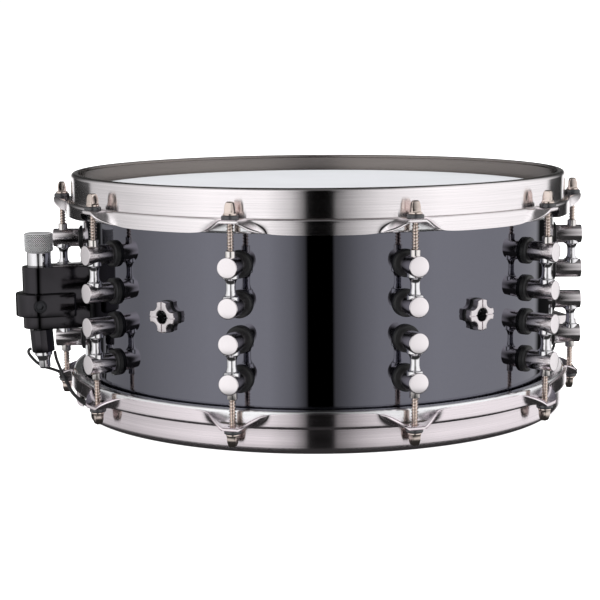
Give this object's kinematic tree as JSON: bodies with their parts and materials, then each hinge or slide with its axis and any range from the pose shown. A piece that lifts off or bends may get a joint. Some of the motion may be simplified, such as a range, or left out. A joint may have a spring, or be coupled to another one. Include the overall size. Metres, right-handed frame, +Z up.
{
  "type": "snare drum",
  "caption": "Metal-shell snare drum with tube lugs, double-flanged hoops, tension rods, turning-lever strainer, butt plate and snare wires.",
  "frame": {"origin": "on the drum's axis, at the plane that the bottom hoop's rim stands on", "axes": "+Z up along the drum's axis; -Y is the front; the strainer is 72 degrees from the front towards -X and the butt plate is opposite it"},
  "size_m": [0.4285, 0.3854, 0.1764],
  "materials": {
    "shell_black": "black mirror lacquer on metal",
    "coated_film": "white coated film, fine grain",
    "clear_film": "thin clear film",
    "flesh_hoop": "bright rolled aluminium",
    "hoop_nickel": "black-nickel plate, brushed round the hoop",
    "lug_nickel": "satin faces, polished black-nickel sides",
    "tube_chrome": "polished",
    "insert_metal": "nickel-plated brass",
    "rubber_black": "matt black",
    "zinc_steel": "zinc plate",
    "washer_nylon": "black nylon",
    "rod_nickel": "warm nickel plate, rolled thread",
    "vent_nickel": "satin nickel",
    "black_anodised": "black anodised",
    "black_steel": "black oxide",
    "knob_aluminium": "diamond knurl",
    "cord_black": "braided black cord",
    "plate_steel": "rolled",
    "snare_steel": "coiled steel wire",
    "butt_chrome": "satin nickel"
  },
  "bodies": {
    "drum": {"shell": "shell_black", "batter_head": "coated_film", "batter_head_ring": "flesh_hoop", "snare_side_head": "clear_film", "snare_side_head_ring": "flesh_hoop", "top_hoop": "hoop_nickel", "bottom_hoop": "hoop_nickel", "lug_posts": "lug_nickel", "lug_tubes": "tube_chrome", "lug_inserts": "insert_metal", "lug_gaskets": "rubber_black", "lug_screws": "zinc_steel", "lug_screw_washers": "zinc_steel", "rod_washers_top": "washer_nylon", "rod_washers_bottom": "washer_nylon", "vent_caps": "vent_nickel", "vent_gaskets": "rubber_black", "vent_nuts": "zinc_steel", "strainer_body": "black_anodised", "strainer_gasket": "rubber_black", "strainer_screws": "zinc_steel", "strainer_barrel": "tube_chrome", "butt_body": "butt_chrome", "butt_gasket": "rubber_black", "butt_clamp_plate": "butt_chrome", "butt_screws": "butt_chrome", "butt_cords": "cord_black"},
    "knob": {"tension_knob": "knob_aluminium", "adjust_screw": "zinc_steel"},
    "lever": {"throw_lever": "black_anodised", "lever_screw": "black_steel"},
    "carriage": {"lift_rod": "zinc_steel", "cam_pin": "zinc_steel", "clamp_hex": "black_anodised", "clamp_collet": "tube_chrome"},
    "snares": {"snare_cord": "cord_black", "snare_cord_loop": "cord_black", "snare_plate_strainer": "plate_steel", "snare_plate_butt": "plate_steel", "snare_wires": "snare_steel"},
    "rod_top_1": {"tension_rod_top_1": "rod_nickel"},
    "rod_bottom_1": {"tension_rod_bottom_1": "rod_nickel"},
    "rod_top_2": {"tension_rod_top_2": "rod_nickel"},
    "rod_bottom_2": {"tension_rod_bottom_2": "rod_nickel"},
    "rod_top_3": {"tension_rod_top_3": "rod_nickel"},
    "rod_bottom_3": {"tension_rod_bottom_3": "rod_nickel"},
    "rod_top_4": {"tension_rod_top_4": "rod_nickel"},
    "rod_bottom_4": {"tension_rod_bottom_4": "rod_nickel"},
    "rod_top_5": {"tension_rod_top_5": "rod_nickel"},
    "rod_bottom_5": {"tension_rod_bottom_5": "rod_nickel"},
    "rod_top_6": {"tension_rod_top_6": "rod_nickel"},
    "rod_bottom_6": {"tension_rod_bottom_6": "rod_nickel"},
    "rod_top_7": {"tension_rod_top_7": "rod_nickel"},
    "rod_bottom_7": {"tension_rod_bottom_7": "rod_nickel"},
    "rod_top_8": {"tension_rod_top_8": "rod_nickel"},
    "rod_bottom_8": {"tension_rod_bottom_8": "rod_nickel"},
    "rod_top_9": {"tension_rod_top_9": "rod_nickel"},
    "rod_bottom_9": {"tension_rod_bottom_9": "rod_nickel"},
    "rod_top_10": {"tension_rod_top_10": "rod_nickel"},
    "rod_bottom_10": {"tension_rod_bottom_10": "rod_nickel"}
  },
  "joints": [
    {"name": "knob_turn", "type": "hinge", "parent": "drum", "child": "knob", "pos_m": [-0.20258, -0.06582, 0.1293], "axis": [0, 0, 1], "continuous": true},
    {"name": "lever_throw", "type": "hinge", "parent": "drum", "child": "lever", "pos_m": [-0.20258, -0.06582, 0.0853], "axis": [0, 0, -1], "range_deg": [0, 90]},
    {"name": "carriage_slide", "type": "slide", "parent": "drum", "child": "carriage", "axis": [0, 0, -1], "range_m": [0, 0.0046]},
    {"name": "snares_drop", "type": "hinge", "parent": "drum", "child": "snares", "pos_m": [0.15122, 0.04913, 0.0083], "axis": [0.309, -0.9511, 0], "range_deg": [0, 0.75]},
    {"name": "rod_top_1_turn", "type": "hinge", "parent": "drum", "child": "rod_top_1", "pos_m": [0.05995, -0.18451, 0.1595], "axis": [0, 0, 1], "continuous": true},
    {"name": "rod_bottom_1_turn", "type": "hinge", "parent": "drum", "child": "rod_bottom_1", "pos_m": [0.05995, -0.18451, 0.0151], "axis": [0, 0, -1], "continuous": true},
    {"name": "rod_top_2_turn", "type": "hinge", "parent": "drum", "child": "rod_top_2", "pos_m": [0.15695, -0.11403, 0.1595], "axis": [0, 0, 1], "continuous": true},
    {"name": "rod_bottom_2_turn", "type": "hinge", "parent": "drum", "child": "rod_bottom_2", "pos_m": [0.15695, -0.11403, 0.0151], "axis": [0, 0, -1], "continuous": true},
    {"name": "rod_top_3_turn", "type": "hinge", "parent": "drum", "child": "rod_top_3", "pos_m": [0.194, 0, 0.1595], "axis": [0, 0, 1], "continuous": true},
    {"name": "rod_bottom_3_turn", "type": "hinge", "parent": "drum", "child": "rod_bottom_3", "pos_m": [0.194, 0, 0.0151], "axis": [0, 0, -1], "continuous": true},
    {"name": "rod_top_4_turn", "type": "hinge", "parent": "drum", "child": "rod_top_4", "pos_m": [0.15695, 0.11403, 0.1595], "axis": [0, 0, 1], "continuous": true},
    {"name": "rod_bottom_4_turn", "type": "hinge", "parent": "drum", "child": "rod_bottom_4", "pos_m": [0.15695, 0.11403, 0.0151], "axis": [0, 0, -1], "continuous": true},
    {"name": "rod_top_5_turn", "type": "hinge", "parent": "drum", "child": "rod_top_5", "pos_m": [0.05995, 0.18451, 0.1595], "axis": [0, 0, 1], "continuous": true},
    {"name": "rod_bottom_5_turn", "type": "hinge", "parent": "drum", "child": "rod_bottom_5", "pos_m": [0.05995, 0.18451, 0.0151], "axis": [0, 0, -1], "continuous": true},
    {"name": "rod_top_6_turn", "type": "hinge", "parent": "drum", "child": "rod_top_6", "pos_m": [-0.05995, 0.18451, 0.1595], "axis": [0, 0, 1], "continuous": true},
    {"name": "rod_bottom_6_turn", "type": "hinge", "parent": "drum", "child": "rod_bottom_6", "pos_m": [-0.05995, 0.18451, 0.0151], "axis": [0, 0, -1], "continuous": true},
    {"name": "rod_top_7_turn", "type": "hinge", "parent": "drum", "child": "rod_top_7", "pos_m": [-0.15695, 0.11403, 0.1595], "axis": [0, 0, 1], "continuous": true},
    {"name": "rod_bottom_7_turn", "type": "hinge", "parent": "drum", "child": "rod_bottom_7", "pos_m": [-0.15695, 0.11403, 0.0151], "axis": [0, 0, -1], "continuous": true},
    {"name": "rod_top_8_turn", "type": "hinge", "parent": "drum", "child": "rod_top_8", "pos_m": [-0.194, 0, 0.1595], "axis": [0, 0, 1], "continuous": true},
    {"name": "rod_bottom_8_turn", "type": "hinge", "parent": "drum", "child": "rod_bottom_8", "pos_m": [-0.194, 0, 0.0151], "axis": [0, 0, -1], "continuous": true},
    {"name": "rod_top_9_turn", "type": "hinge", "parent": "drum", "child": "rod_top_9", "pos_m": [-0.15695, -0.11403, 0.1595], "axis": [0, 0, 1], "continuous": true},
    {"name": "rod_bottom_9_turn", "type": "hinge", "parent": "drum", "child": "rod_bottom_9", "pos_m": [-0.15695, -0.11403, 0.0151], "axis": [0, 0, -1], "continuous": true},
    {"name": "rod_top_10_turn", "type": "hinge", "parent": "drum", "child": "rod_top_10", "pos_m": [-0.05995, -0.18451, 0.1595], "axis": [0, 0, 1], "continuous": true},
    {"name": "rod_bottom_10_turn", "type": "hinge", "parent": "drum", "child": "rod_bottom_10", "pos_m": [-0.05995, -0.18451, 0.0151], "axis": [0, 0, -1], "continuous": true}
  ],
  "couplings": [
    {"joint": "lever_throw", "follows": "carriage_slide", "rad_per_m": 341.4},
    {"joint": "snares_drop", "follows": "carriage_slide", "rad_per_m": 2.6882}
  ]
}
